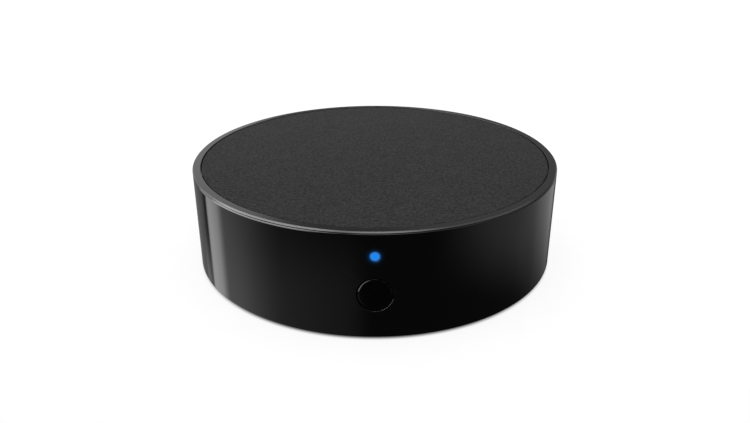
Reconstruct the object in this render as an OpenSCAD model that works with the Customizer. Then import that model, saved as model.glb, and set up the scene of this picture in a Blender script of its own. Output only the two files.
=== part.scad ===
// Smart infrared blaster: a round puck that stands on a shelf and sends remote-control
// codes through its gloss side shell. Millimetres. The surface it stands on is z = 0,
// +Z is up, and the button and the indicator light face -Y.

/* [Housing] */
// Outside diameter of the housing
body_d = 66; // [63:0.5:80]
// Height from the underside of the base to the face of the lid
body_h = 18; // [17.5:0.25:24]
// Wall thickness of the side shell
shell_wall = 1.8; // [1.6:0.1:2.2]
// Radius on the shell's upper and lower outside edges
shell_edge_r = 0.25; // [0.15:0.05:0.4]

/* [Lid] */
// Width of the smooth rim around the textured panel
rim_w = 1.4; // [1.2:0.1:2.4]
// Width of the groove between the rim and the panel
groove_w = 0.2; // [0.1:0.05:0.4]
// Thickness of the textured panel
panel_t = 0.8; // [0.6:0.1:1.2]
// How far the panel lies below the rim
panel_drop = 0.05; // [0:0.05:0.2]
// Thickness of the lid under the panel
lid_floor_t = 1; // [0.8:0.1:1.4]
// Height of the lid's lip, which covers the top of the shell
lip_h = 0.25; // [0.2:0.05:0.5]
// Chamfer on the lip's outside edge
lip_chamfer = 0.12; // [0.05:0.01:0.18]
// Gap between the lip and the top of the shell
parting_gap = 0.1; // [0.05:0.05:0.2]

/* [Base] */
// Thickness of the base plate
base_t = 1.6; // [1.4:0.1:2]
// How far the foot ring stands below the base
foot_proud = 0.4; // [0.2:0.05:0.8]
// Width of the foot ring
foot_w = 7; // [6.5:0.25:9]

/* [Button and light] */
// Diameter of the button
button_d = 5.5; // [4.5:0.1:6.2]
// How far the button travels when it is pressed
button_travel = 0.3; // [0.2:0.05:0.35]
// Diameter of the indicator light
light_d = 1.6; // [1.2:0.1:2]
// Where the light pipe runs in the free height, from the switch (0) to the lid (1)
light_share = 0.685; // [0.5:0.005:0.8]

/* [Board and emitters] */
// Thickness of the circuit board
board_t = 1.6; // [1.2:0.1:1.8]
// Height of the board above the base plate
standoff_h = 1.2; // [1.1:0.05:1.6]
// Diameter of an infrared emitter
emitter_d = 5; // [4:0.25:5.25]
// Length of an infrared emitter from its flange to its tip
emitter_len = 8.6; // [8:0.1:9]

/* [Hidden] */
// Directions of the infrared emitters, seen from above, with +X at 0
emitter_angles = [0, 55, 125, 180, 235, 305];
$fn = 72;

// Shared clearances
cut = 1; // overrun of every cut past the face it opens
fit_gap = 0.1; // between housing pieces that locate each other
seat_gap = 0.05; // between a piece at rest and the face that stops it
hole_gap = 0.2; // round a pin, screw or lead in its hole

// Housing radii
body_r = body_d / 2;
shell_in_r = body_r - shell_wall;
rebate_w = shell_wall * 5 / 9;
flange_w = shell_wall / 3;
flange_h = 1;
recess_r = body_r - rim_w;
panel_r = recess_r - groove_w;
panel_chamfer = 0.1;

// Heights of the stack, from the surface up
z_base = foot_proud;
z_floor = z_base + base_t;
z_board = z_floor + standoff_h;
z_parts = z_board + board_t;
z_top = z_base + body_h;
lid_t = panel_drop + panel_t + lid_floor_t;
z_lid = z_top - lid_t;
z_lip = z_top - lip_h;
z_shell_top = z_lip - parting_gap;
z_root = z_lid + lid_floor_t / 2; // what stands under the lid is rooted this high in it

// Lid
spigot_t = 1;
spigot_h = 2;
spigot_r = shell_in_r - fit_gap;
lid_rib_t = 0.8;
lid_rib_h = 1;
lid_hub_r = 8;
lid_rib_count = 6;
boss_d = 5;
boss_edge_gap = 4;
boss_angles = [30, 150, 210, 330];
gusset_w = 2.2;
gusset_h = 4;
gusset_t = 0.8;
cradle_t = 0.8;
cradle_len = 4;
cradle_h = 0.5;

// Base
base_rim_t = 1.2;
base_rim_h = 1.8;
base_chamfer = 0.3;
foot_seat = 0.6;
foot_chamfer = 0.2;
base_boss_d = 7.4;
key_w = 3;
key_d = 0.5;
key_h = 1.2;
screw_post_d = 4.4;
locating_pin_d = 1.8;
locating_pin_h = 0.5;
locating_chamfer = 0.3;

// Screws
screw_d = 2;
screw_head_d = 3.8;
screw_head_h = 1.2;
screw_len = 7;
screw_point = 0.6;
drive_w = 0.5;
drive_len = 2.2;
drive_depth = 0.7;
board_screw_len = 3.2;
board_screw_angle = 15.3;

// Button, from its face inwards
button_gap = 0.08;
button_edge_r = 0.45;
button_flange_lip = 0.75;
button_flange_d = button_d + 2 * button_flange_lip;
button_flange_t = 0.8;
spot_depth = 0.25;
stem_d = 2.8;
y_face = -body_r;
y_spot = -shell_in_r - spot_depth;
y_flange = y_spot + seat_gap;

// Side-acting switch behind the button
switch_axis_h = 3.1;
switch_w = 6;
switch_h = 6;
switch_depth = 3.4;
switch_lift = 0.1;
switch_gap = 2;
bracket_t = 0.3;
bracket_leg_w = 0.8;
bracket_side_depth = 2.6;
plunger_d = 3.4;
plunger_len = 1;
plunger_gap = 0.1;
plunger_flange_d = 4.3;
plunger_flange_t = 0.6;
plunger_edge = 0.2;
dome_h = 0.25;
dome_t = 0.1;
dome_gap = 0.1;
pin_w = 0.7;
pin_t = 0.3;
pin_spacing = 4.5;
pin_tail = 0.8;
z_button = z_parts + switch_axis_h;
z_switch_top = z_parts + switch_lift + switch_h;
y_bracket = y_flange + button_flange_t + switch_gap - bracket_t;
y_switch = y_bracket + bracket_t;
y_plunger = y_bracket - plunger_len;
y_plunger_flange = y_switch + seat_gap;
cavity_depth = seat_gap + plunger_flange_t + button_travel + dome_gap + dome_h;
y_switch_pins = y_switch + switch_depth * 3 / 4;

// Light pipe and its lamp
light_gap = 0.03;
pipe_w = 2;
pipe_facet_w = 1.6;
collar_lip = 0.5;
collar_d = light_d + 2 * collar_lip;
collar_t = 1;
lamp_w = 2;
lamp_d = 1.25;
lamp_h = 0.8;
lamp_gap = 0.2;
pipe_gap = 1;
z_light = z_switch_top + pipe_w / 2 + light_share * (z_lid - z_switch_top - pipe_w);
y_pipe = y_switch + switch_depth + pipe_gap + pipe_w / 2;

// Board
board_edge_gap = 2.7;
board_r = shell_in_r - board_edge_gap;
boss_place_r = board_r - boss_edge_gap;
foot_r = boss_place_r + foot_w / 2;
tab_w = 12;
tab_gap = 0.9;
y_tab = shell_in_r - tab_gap;
lead_tail = 0.9;

// Infrared emitters
emitter_tip_gap = 1;
emitter_flange_lip = 0.4;
emitter_flange_t = 1;
emitter_lift = 0.4;
emitter_r = emitter_d / 2;
emitter_flange_r = emitter_r + emitter_flange_lip;
emitter_back = shell_in_r - emitter_tip_gap - emitter_len;
z_emitter = z_parts + emitter_lift + emitter_flange_r;
lead_w = 0.5;
lead_spacing = 2.54;
lead_run = 1;
lead_bend_r = 0.75;
lead_place = emitter_back - lead_run - lead_bend_r;
lead_hole_d = lead_w * sqrt(2) + hole_gap;

// Infrared receiver, which learns codes
receiver_w = 5;
receiver_d = 2.9;
receiver_h = 6.95;
receiver_lens_r = 1.9;
receiver_lens_z = 4.2;
receiver_lift = 0.4;
receiver_x = 7.3;
receiver_y = y_pipe + lamp_w;
receiver_edge = 0.5;

// Wireless module
module_w = 24;
module_d = 16;
module_t = 0.8;
module_y = 1;
module_chamfer = 0.6;
castellation_d = 0.8;
castellation_spacing = 2;
castellation_count = 8;
shield_share = 0.625;
shield_w = module_w * shield_share;
shield_d = 12;
shield_h = 2.2;
shield_t = 0.2;
shield_r = 0.8;
shield_inset = 1;
chip_w = 5;
chip_t = 0.9;
crystal_w = 3.2;
crystal_d = 2.5;
crystal_t = 0.7;
crystal_y = 3.8;
antenna_w = 0.5;
antenna_t = 0.05;
antenna_turns = 4;
antenna_h = 4;
antenna_inset = 0.8;
antenna_reach = module_w - shield_inset - shield_w - 2 * antenna_inset - antenna_w;
antenna_spacing = antenna_reach / antenna_turns;

// Micro-B socket
usb_cavity_w = 6.9;
usb_cavity_h = 1.85;
usb_side_share = 0.5;
usb_foot_share = 0.78;
usb_t = 0.3;
usb_len = 5.6;
usb_mouth_gap = 1.4;
usb_lip = 0.35;
usb_lip_len = 0.6;
usb_block_len = 1.6;
usb_tongue_w = 3.7;
usb_tongue_t = 0.6;
usb_tongue_len = 3.2;
usb_tongue_gap = 0.25;
usb_contact_w = 0.25;
usb_contact_t = 0.1;
usb_contact_spacing = 0.65;
usb_contact_count = 5;
usb_tail_len = 0.8;
usb_leg_w = 1.1;
usb_leg_back = 1.6;
usb_slot_gap_x = 0.75;
usb_slot_gap_z = 0.7;
usb_slot_r = 0.9;
y_usb = body_r - usb_mouth_gap;
z_usb = z_parts + usb_t + usb_cavity_h / 2;
usb_out_w = usb_cavity_w + 2 * usb_t;
usb_out_h = usb_cavity_h + 2 * usb_t;
y_power = (module_y + module_d / 2 + y_usb - usb_len) / 2;

// Power parts
regulator_w = 6.5;
regulator_d = 3.5;
regulator_h = 1.6;
regulator_pin_w = 0.7;
regulator_pin_spacing = 2.3;
regulator_tab_w = 3;
regulator_x = 5;
chip_pin_t = 0.2;
chip_foot = 0.8;
chip_knee = 0.7;
can_d = 6.3;
can_h = 4.9;
can_edge = 0.5;
can_neck = 0.25;
can_neck_h = 0.9;
can_base_w = 6.6;
can_base_h = 0.9;
can_base_chamfer = 1.2;
can_x = -5.4;

// Small chips
y_module = module_y - module_d / 2;
chip_reach = y_pipe + lamp_d / 2 - y_module;
transistor_w = 2.9;
transistor_d = 1.3;
transistor_h = 1;
transistor_pin_w = 0.4;
transistor_pin_spacing = 1.9;
transistor_spacing = 6;
transistor_count = 3;
transistor_share = 0.3;
resistor_w = 2;
resistor_d = 1.25;
resistor_h = 0.5;
resistor_spacing = 3.2;
resistor_count = 6;
resistor_share = 0.58;
chip_capacitor_h = 0.9;
chip_capacitor_spacing = 3;
chip_capacitor_count = 4;
chip_capacitor_gap = 2.5;

// Removes the square corner outside a quarter round, in the first quadrant
module quarter_cut(r) {
    difference() {
        square([r + cut, r + cut]);
        circle(r);
    }
}

// Ring section from one radius to another and one height to another
module section(r_in, r_out, z_low, z_high) {
    translate([r_in, z_low]) square([r_out - r_in, z_high - z_low]);
}

// Disc or plain cylinder between two heights
module disc(r, z_low, z_high) {
    translate([0, 0, z_low]) cylinder(r = r, h = z_high - z_low);
}

// Cylinder along Y from one place to another
module rod_y(r, y_low, y_high, z = 0, x = 0) {
    translate([x, y_low, z]) rotate([-90, 0, 0]) cylinder(r = r, h = y_high - y_low);
}

// Block that is centred on X and Y and stands on a height
module block(w, d, z_low, z_high, x = 0, y = 0) {
    translate([x - w / 2, y - d / 2, z_low]) cube([w, d, z_high - z_low]);
}

// Rectangle with round corners, centred
module rounded_rect(w, d, r) {
    square([w - 2 * r, d], center = true);
    square([w, d - 2 * r], center = true);
    for (x = [-1, 1], y = [-1, 1])
        translate([x * (w / 2 - r), y * (d / 2 - r)]) circle(r);
}

// Copies its children at angles round the middle, at a radius
module polar(angles, r) {
    for (a = angles)
        rotate([0, 0, a]) translate([r, 0, 0]) children();
}

// Two board screws and two locating pins, each between a lid boss and an emitter
module screw_places() {
    polar([-board_screw_angle, 180 - board_screw_angle], boss_place_r) children();
}

module locating_places() {
    polar([board_screw_angle, 180 + board_screw_angle], boss_place_r) children();
}

// Gloss ring that the infrared light passes through
module side_shell() {
    color("black") difference() {
        rotate_extrude() difference() {
            section(shell_in_r, body_r, z_base, z_shell_top);
            section(shell_in_r - cut, shell_in_r + rebate_w, z_lid, z_top);
            section(shell_in_r - cut, shell_in_r + flange_w, z_base - cut, z_base + flange_h);
            translate([body_r - shell_edge_r, z_shell_top - shell_edge_r])
                quarter_cut(shell_edge_r);
            translate([body_r - shell_edge_r, z_base + shell_edge_r])
                mirror([0, 1]) quarter_cut(shell_edge_r);
        }
        rod_y(button_d / 2 + button_gap, y_face - cut, y_spot + cut, z_button);
        rod_y(button_flange_d / 2 + fit_gap, y_spot, y_spot + cut, z_button);
        rod_y(light_d / 2 + light_gap, y_face - cut, y_spot + cut, z_light);
        rod_y(collar_d / 2 + fit_gap, y_spot, y_spot + cut, z_light);
        usb_slot();
        for (s = [-1, 1])
            block(2 * key_d + 2 * fit_gap, key_w + 2 * fit_gap, z_base, z_floor + key_h + fit_gap,
                s * spigot_r);
    }
}

// Opening in the shell for the plug
module usb_slot() {
    slot_w = usb_out_w + 2 * usb_slot_gap_x;
    slot_h = usb_out_h + 2 * usb_slot_gap_z;
    translate([0, y_tab, z_usb]) rotate([90, 0, 180])
        linear_extrude(body_r - y_tab + cut) rounded_rect(slot_w, slot_h, usb_slot_r);
}

// Matte lid with the recess for the panel, its spigot, screw bosses and ribs
module top_cover() {
    color("dimgray") {
        difference() {
            union() {
                lid_shell();
                polar(boss_angles, boss_place_r) disc(boss_d / 2, z_board, z_root);
                polar(boss_angles, boss_place_r) gussets();
                lid_ribs();
                light_cradle();
            }
            polar(boss_angles, boss_place_r)
                disc(screw_d / 2 + seat_gap, z_board - cut, z_board + screw_len);
        }
    }
}

module lid_shell() {
    difference() {
        rotate_extrude() difference() {
            union() {
                section(0, shell_in_r + rebate_w - fit_gap, z_lid, z_top);
                section(0, body_r, z_lip, z_top);
                section(spigot_r - spigot_t, spigot_r, z_lid - spigot_h, z_top - lip_h);
            }
            section(-cut, recess_r, z_top - panel_t - panel_drop, z_top + cut);
            translate([body_r, z_top]) rotate(45)
                square(lip_chamfer * sqrt(2), center = true);
        }
        block(collar_d + 2 * spigot_t, 2 * spigot_t + 2 * fit_gap, z_lid - spigot_h - cut, z_lid,
            0, spigot_t / 2 - spigot_r);
    }
}

module gussets() {
    for (a = [120, 180, 240])
        rotate([0, 0, a]) translate([boss_d / 2 - fit_gap, gusset_t / 2, z_lid])
            rotate([90, 0, 0]) linear_extrude(gusset_t)
                polygon([
                    [0, z_root - z_lid], [gusset_w, z_root - z_lid], [gusset_w, 0],
                    [0, -gusset_h]]);
}

module lid_ribs() {
    rotate_extrude() section(lid_hub_r - lid_rib_t, lid_hub_r, z_lid - lid_rib_h, z_root);
    for (i = [0 : lid_rib_count - 1])
        rotate([0, 0, i * 360 / lid_rib_count])
            translate([lid_hub_r - lid_rib_t / 2, -lid_rib_t / 2, z_lid - lid_rib_h])
                cube([spigot_r - spigot_t - lid_hub_r, lid_rib_t, z_root - z_lid + lid_rib_h]);
}

// Two ribs that hold the arm of the light pipe from both sides
module light_cradle() {
    for (s = [-1, 1])
        block(cradle_t, cradle_len, z_light - cradle_h, z_root,
            s * (pipe_w / 2 + fit_gap + cradle_t / 2), y_pipe - pipe_w / 2 - cradle_len / 2);
}

// Textured disc set in the lid
module top_panel() {
    z_low = z_top - panel_drop - panel_t;
    z_high = z_top - panel_drop;
    color("darkslategray") rotate_extrude() difference() {
        section(0, panel_r, z_low, z_high);
        translate([panel_r, z_high]) rotate(45) square(panel_chamfer * sqrt(2), center = true);
    }
}

// Bottom cover with its locating rim, screw bosses and board posts
module base_cover() {
    color("dimgray") difference() {
        union() {
            base_shell();
            polar(boss_angles, boss_place_r) disc(base_boss_d / 2, z_base, z_board);
            screw_places() disc(screw_post_d / 2, z_base, z_board);
            locating_places() locating_pin();
            for (s = [-1, 1])
                intersection() {
                    block(2 * key_d, key_w, z_base, z_floor + key_h, s * spigot_r);
                    disc(spigot_r + key_d, z_base, z_floor + key_h);
                }
        }
        rotate_extrude()
            section(foot_r - foot_w - fit_gap, foot_r + fit_gap, z_base - cut, z_base + foot_seat);
        polar(boss_angles, boss_place_r) {
            disc(screw_d / 2 + hole_gap / 2, z_base, z_board + cut);
            disc(screw_head_d / 2 + hole_gap, z_base, z_base + foot_seat + screw_head_h + seat_gap);
        }
        screw_places() disc(screw_d / 2, z_board - board_screw_len + board_t, z_board + cut);
    }
}

module base_shell() {
    difference() {
        rotate_extrude() difference() {
            union() {
                section(0, shell_in_r + flange_w - fit_gap, z_base, z_base + flange_h);
                section(0, spigot_r, z_base, z_floor);
                section(spigot_r - base_rim_t, spigot_r, z_base, z_floor + base_rim_h);
            }
            translate([shell_in_r + flange_w - fit_gap, z_base]) rotate(45)
                square(base_chamfer * sqrt(2), center = true);
        }
        block(tab_w + 2 * fit_gap + 2 * base_rim_t, 2 * cut + 2 * base_rim_t, z_floor,
            z_floor + base_rim_h + cut, 0, spigot_r);
    }
}

module locating_pin() {
    pin_r = locating_pin_d / 2;
    disc(screw_post_d / 2, z_base, z_board);
    z_high = z_parts + locating_pin_h;
    rotate_extrude() polygon([
        [0, z_base], [pin_r, z_base], [pin_r, z_parts], [pin_r - locating_chamfer, z_high], [0, z_high]]);
}

// Soft ring that the part stands on
module foot_ring() {
    inner = foot_r - foot_w;
    color("darkgray") rotate_extrude() difference() {
        section(inner, foot_r, 0, foot_proud + foot_seat);
        for (r = [inner, foot_r])
            translate([r, 0]) rotate(45) square(foot_chamfer * sqrt(2), center = true);
    }
}

// Button with a rounded edge, a flange that holds it in, and a stem
module button_cap() {
    flange_in = y_flange - y_face;
    color("black") translate([0, y_face, z_button]) rotate([-90, 0, 0]) rotate_extrude() {
        difference() {
            section(0, button_d / 2, 0, flange_in + button_flange_t);
            translate([button_d / 2 - button_edge_r, button_edge_r]) mirror([0, 1])
                quarter_cut(button_edge_r);
        }
        section(0, button_flange_d / 2, flange_in, flange_in + button_flange_t);
        section(0, stem_d / 2, 0, y_plunger - y_face);
    }
}

module switch_plunger() {
    r = plunger_d / 2;
    flange_in = y_plunger_flange - y_plunger;
    color("saddlebrown") translate([0, y_plunger, z_button]) rotate([-90, 0, 0]) rotate_extrude() {
        polygon([[0, 0], [r - plunger_edge, 0], [r, plunger_edge], [r, flange_in], [0, flange_in]]);
        section(0, plunger_flange_d / 2, flange_in, flange_in + plunger_flange_t);
    }
}

// Snap disc on the floor of the switch, a shallow cap of a sphere
module switch_dome() {
    rim_r = plunger_flange_d / 2 - dome_gap;
    sphere_r = (rim_r * rim_r + dome_h * dome_h) / (2 * dome_h);
    color("silver") translate([0, y_switch + cavity_depth, z_button]) rotate([90, 0, 0])
        rotate_extrude() intersection() {
            translate([0, dome_h - sphere_r]) difference() {
                circle(sphere_r, $fn = 720);
                circle(sphere_r - dome_t, $fn = 720);
            }
            square([rim_r, dome_h]);
        }
}

module switch_body() {
    color("black") difference() {
        block(switch_w, switch_depth, z_parts + switch_lift, z_switch_top,
            0, y_switch + switch_depth / 2);
        rod_y(plunger_flange_d / 2 + plunger_gap, y_switch - cut, y_switch + cavity_depth, z_button);
    }
}

// Sheet-metal frame that holds the plunger in and is soldered to the board
module switch_bracket() {
    color("silver") {
        difference() {
            block(switch_w + 2 * bracket_t, bracket_t, z_parts + switch_lift, z_switch_top,
                0, y_bracket + bracket_t / 2);
            rod_y(plunger_d / 2 + plunger_gap, y_bracket - cut, y_switch + cut, z_button);
        }
        for (s = [-1, 1]) {
            block(bracket_t, bracket_t + bracket_side_depth, z_parts + switch_lift, z_switch_top,
                s * (switch_w + bracket_t) / 2, y_bracket + (bracket_t + bracket_side_depth) / 2);
            block(bracket_t, bracket_leg_w, z_board - pin_tail, z_switch_top,
                s * (switch_w + bracket_t) / 2, y_bracket_leg());
        }
    }
}

function y_bracket_leg() = y_switch + bracket_side_depth - bracket_leg_w / 2;

module switch_pins() {
    color("gold") for (s = [-1, 1])
        block(pin_w, pin_t, z_board - pin_tail, z_parts + switch_lift, s * pin_spacing / 2,
            y_switch_pins);
}

// Clear guide from the lamp on the board up and forward to the shell
module light_pipe() {
    collar_in = y_flange - y_face;
    color("aliceblue") {
        translate([0, y_face, z_light]) rotate([-90, 0, 0]) rotate_extrude() {
            section(0, light_d / 2, 0, collar_in);
            section(0, collar_d / 2, collar_in, collar_in + collar_t);
        }
        translate([-pipe_w / 2, 0, 0]) rotate([90, 0, 90]) linear_extrude(pipe_w) pipe_side();
    }
}

// Side of the guide: an arm and a column, with a slanted face that turns the light forward
module pipe_side() {
    half = pipe_w / 2;
    y_root = y_flange + collar_t / 2;
    z_foot = z_parts + lamp_h + lamp_gap;
    polygon([
        [y_root, z_light + half], [y_pipe + half - pipe_facet_w, z_light + half],
        [y_pipe + half, z_light + half - pipe_facet_w], [y_pipe + half, z_foot],
        [y_pipe - half, z_foot], [y_pipe - half, z_light - half - pipe_facet_w / 4],
        [y_pipe - half - pipe_facet_w / 4, z_light - half], [y_root, z_light - half]]);
}

module indicator_led() {
    color("white") block(lamp_w, lamp_d, z_parts, z_parts + lamp_h, 0, y_pipe);
}

// Round board with a tab for the socket and holes for what passes through it
module main_board() {
    color("darkgreen") difference() {
        union() {
            disc(board_r, z_board, z_parts);
            block(tab_w, y_tab, z_board, z_parts, 0, y_tab / 2);
        }
        polar(boss_angles, boss_place_r) disc(boss_d / 2 + hole_gap, z_board - cut, z_parts + cut);
        screw_places() disc(screw_d / 2 + hole_gap / 2, z_board - cut, z_parts + cut);
        locating_places() disc(locating_pin_d / 2 + fit_gap, z_board - cut, z_parts + cut);
        polar(emitter_angles, lead_place)
            for (s = [-1, 1])
                translate([0, s * lead_spacing / 2, 0]) disc(lead_hole_d / 2, z_board - cut, z_parts + cut);
        for (i = [-1, 0, 1])
            translate([receiver_x + i * lead_spacing / 2, receiver_y, 0])
                disc(lead_hole_d / 2, z_board - cut, z_parts + cut);
        for (s = [-1, 1]) {
            translate([s * pin_spacing / 2, y_switch_pins, 0])
                disc((pin_w + hole_gap) / 2, z_board - cut, z_parts + cut);
            translate([s * (switch_w + bracket_t) / 2, y_bracket_leg(), 0])
                disc((bracket_leg_w + hole_gap) / 2, z_board - cut, z_parts + cut);
            block(usb_t + hole_gap, usb_leg_w + hole_gap, z_board - cut, z_parts + cut,
                s * (usb_out_w - usb_t) / 2, y_usb - usb_len + usb_leg_back);
        }
    }
}

// Pan-head screw along +Z, from the outer face of its head
module screw(length) {
    difference() {
        union() {
            cylinder(r = screw_head_d / 2, h = screw_head_h);
            cylinder(r = screw_d / 2, h = screw_head_h + length - screw_point);
            translate([0, 0, screw_head_h + length - screw_point])
                cylinder(r1 = screw_d / 2, r2 = screw_d / 4, h = screw_point);
        }
        for (a = [0, 90])
            rotate([0, 0, a]) block(drive_len, drive_w, -cut, drive_depth);
    }
}

module housing_screws() {
    color("silver") polar(boss_angles, boss_place_r)
        translate([0, 0, z_base + foot_seat]) screw(screw_len);
}

module board_screws() {
    color("silver") screw_places()
        translate([0, 0, z_parts + screw_head_h]) mirror([0, 0, 1]) screw(board_screw_len);
}

// Infrared emitter lying on its side, with its dome towards the shell
module ir_emitter(i) {
    color("midnightblue") rotate([0, 0, emitter_angles[i]])
        translate([emitter_back, 0, z_emitter]) rotate([0, 90, 0]) difference() {
            rotate_extrude() {
                section(0, emitter_flange_r, 0, emitter_flange_t);
                section(0, emitter_r, 0, emitter_len - emitter_r);
                translate([0, emitter_len - emitter_r]) intersection() {
                    circle(emitter_r);
                    square(emitter_r);
                }
            }
            block(2 * emitter_flange_lip, 2 * emitter_flange_r, -cut, emitter_flange_t + cut,
                -emitter_flange_r);
        }
}

// Two formed wires for each emitter, bent down through the board
module emitter_leads() {
    color("silver") for (a = emitter_angles, s = [-1, 1])
        rotate([0, 0, a]) translate([0, s * lead_spacing / 2, 0]) emitter_lead();
}

module emitter_lead() {
    x_bend = emitter_back - lead_run;
    z_low = z_board - lead_tail;
    z_bend = z_emitter - lead_bend_r;
    translate([x_bend, -lead_w / 2, z_emitter - lead_w / 2]) cube([lead_run, lead_w, lead_w]);
    translate([x_bend, 0, z_bend]) rotate([90, 0, 0]) rotate([0, 0, 90])
        rotate_extrude(angle = 90) translate([lead_bend_r, 0]) square(lead_w, center = true);
    translate([lead_place - lead_w / 2, -lead_w / 2, z_low])
        cube([lead_w, lead_w, z_bend - z_low]);
}

module ir_receiver() {
    z_low = z_parts + receiver_lift;
    color("black") {
        difference() {
            block(receiver_w, receiver_d, z_low, z_low + receiver_h, receiver_x, receiver_y);
            for (s = [-1, 1])
                translate([receiver_x + s * receiver_w / 2, receiver_y + receiver_d / 2, z_low - cut])
                    rotate([0, 0, 45])
                        block(receiver_edge * sqrt(2), receiver_edge * sqrt(2), 0, receiver_h + 2 * cut);
        }
        translate([receiver_x, receiver_y - receiver_d / 2, z_low + receiver_lens_z])
            sphere(receiver_lens_r);
    }
}

module receiver_leads() {
    color("silver") for (i = [-1, 0, 1])
        block(lead_w, lead_w, z_board - lead_tail, z_parts + receiver_lift,
            receiver_x + i * lead_spacing / 2, receiver_y);
}

// Wireless module: a small board with half holes along two edges
module wifi_board() {
    color("darkblue") difference() {
        block(module_w, module_d, z_parts, z_parts + module_t, 0, module_y);
        for (i = [0 : castellation_count - 1], s = [-1, 1])
            translate([castellation_x(i), module_y + s * module_d / 2, 0])
                disc(castellation_d / 2, z_parts - cut, z_parts + module_t + cut);
        translate([-module_w / 2, module_y - module_d / 2, 0]) rotate([0, 0, 45])
            block(module_chamfer * sqrt(2), module_chamfer * sqrt(2), z_parts - cut,
                z_parts + module_t + cut);
    }
}

function castellation_x(i) = module_w / 2 - shield_inset - castellation_d
    - i * castellation_spacing;

function shield_x() = module_w / 2 - shield_inset - shield_w / 2;

module wifi_shield() {
    color("silver") translate([shield_x(), module_y, z_parts + module_t]) difference() {
        linear_extrude(shield_h) rounded_rect(shield_w, shield_d, shield_r);
        translate([0, 0, -cut]) linear_extrude(shield_h - shield_t + cut)
            rounded_rect(shield_w - 2 * shield_t, shield_d - 2 * shield_t, shield_r - shield_t);
    }
}

module wifi_chip() {
    color("black") block(chip_w, chip_w, z_parts + module_t, z_parts + module_t + chip_t,
        shield_x() + chip_w / 4, module_y - chip_w / 4);
}

module wifi_crystal() {
    color("silver") block(crystal_w, crystal_d, z_parts + module_t, z_parts + module_t + crystal_t,
        shield_x() - chip_w / 4, module_y + crystal_y);
}

// Copper line that runs to and fro at the free end of the module
module wifi_antenna() {
    x_low = -module_w / 2 + antenna_inset;
    y_low = module_y - antenna_h / 2;
    z_low = z_parts + module_t;
    color("gold") {
        for (i = [0 : antenna_turns - 1])
            block(antenna_w, antenna_h, z_low, z_low + antenna_t,
                x_low + antenna_w / 2 + i * antenna_spacing, module_y);
        for (i = [0 : antenna_turns - 2])
            block(antenna_spacing + antenna_w, antenna_w, z_low, z_low + antenna_t,
                x_low + antenna_w / 2 + (i + 1 / 2) * antenna_spacing,
                y_low + (i % 2 == 0 ? antenna_w / 2 : antenna_h - antenna_w / 2));
    }
}

// Outline of the socket's cavity, grown by a margin on every side
module usb_outline(margin) {
    half_w = usb_cavity_w / 2 + margin;
    half_h = usb_cavity_h / 2 + margin;
    foot_w_half = usb_cavity_w / 2 * usb_foot_share + margin;
    knee = half_h - usb_cavity_h * usb_side_share;
    polygon([
        [-half_w, half_h], [half_w, half_h], [half_w, knee - margin],
        [foot_w_half, -half_h], [-foot_w_half, -half_h], [-half_w, knee - margin]]);
}

// Runs its 2D children along Y from one place to another
module along_y(y_low, y_high) {
    translate([0, y_high, z_usb]) rotate([90, 0, 0]) linear_extrude(y_high - y_low) children();
}

module usb_shell() {
    y_back = y_usb - usb_len;
    color("silver") {
        along_y(y_back, y_usb) difference() {
            usb_outline(usb_t);
            usb_outline(0);
        }
        for (s = [-1, 1])
            block(usb_t, usb_leg_w, z_board - pin_tail, z_usb, s * (usb_out_w - usb_t) / 2,
                y_back + usb_leg_back);
        usb_lips();
    }
}

// Lips that flare out at the mouth and guide the plug in
module usb_lips() {
    y_lip = y_usb - usb_lip_len;
    z_out = usb_out_h / 2;
    translate([-usb_out_w * usb_foot_share / 2, 0, z_usb]) rotate([90, 0, 90])
        linear_extrude(usb_out_w * usb_foot_share)
            polygon([[y_lip, z_out], [y_usb, z_out], [y_usb, z_out + usb_lip]]);
    for (s = [0, 1])
        mirror([s, 0, 0]) translate([0, 0, z_usb]) linear_extrude(z_out - usb_t)
            polygon([[usb_out_w / 2, y_lip], [usb_out_w / 2 + usb_lip, y_usb], [usb_out_w / 2, y_usb]]);
}

module usb_insulator() {
    y_back = y_usb - usb_len;
    z_tongue = z_usb + usb_cavity_h / 2 - usb_tongue_gap;
    color("black") {
        along_y(y_back, y_back + usb_block_len) usb_outline(0);
        block(usb_tongue_w, usb_tongue_len, z_tongue - usb_tongue_t, z_tongue,
            0, y_back + usb_block_len + usb_tongue_len / 2);
    }
}

module usb_contacts() {
    y_back = y_usb - usb_len;
    z_high = z_usb + usb_cavity_h / 2 - usb_tongue_gap - usb_tongue_t;
    mid = (usb_contact_count - 1) / 2;
    color("gold") for (i = [0 : usb_contact_count - 1]) {
        x = (i - mid) * usb_contact_spacing;
        block(usb_contact_w, usb_tongue_len * 9 / 10, z_high - usb_contact_t, z_high, x,
            y_back + usb_block_len + usb_tongue_len * 9 / 20);
        block(usb_contact_w, usb_tail_len, z_parts, z_parts + usb_contact_t, x,
            y_back - usb_tail_len / 2);
    }
}

// Pin of a small chip: out of its side, down, and flat on the board
module gull_pin(width, out) {
    drop = chip_knee;
    rotate([90, 0, 0]) translate([0, 0, -width / 2]) linear_extrude(width)
        polygon([
            [0, drop], [0, drop - chip_pin_t], [out - chip_foot, drop - chip_pin_t],
            [out - chip_foot, 0], [out, 0], [out, chip_pin_t],
            [out - chip_foot + chip_pin_t, chip_pin_t], [out - chip_foot + chip_pin_t, drop]]);
}

module regulator() {
    color("black") block(regulator_w, regulator_d, z_parts + seat_gap,
        z_parts + regulator_h, regulator_x, y_power);
}

module regulator_pins() {
    out = chip_foot * 2;
    color("silver") translate([regulator_x, y_power, z_parts]) {
        for (i = [-1, 0, 1])
            translate([i * regulator_pin_spacing, -regulator_d / 2, 0]) rotate([0, 0, -90])
                gull_pin(regulator_pin_w, out);
        translate([0, regulator_d / 2, 0]) rotate([0, 0, 90]) gull_pin(regulator_tab_w, out);
    }
}

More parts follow.
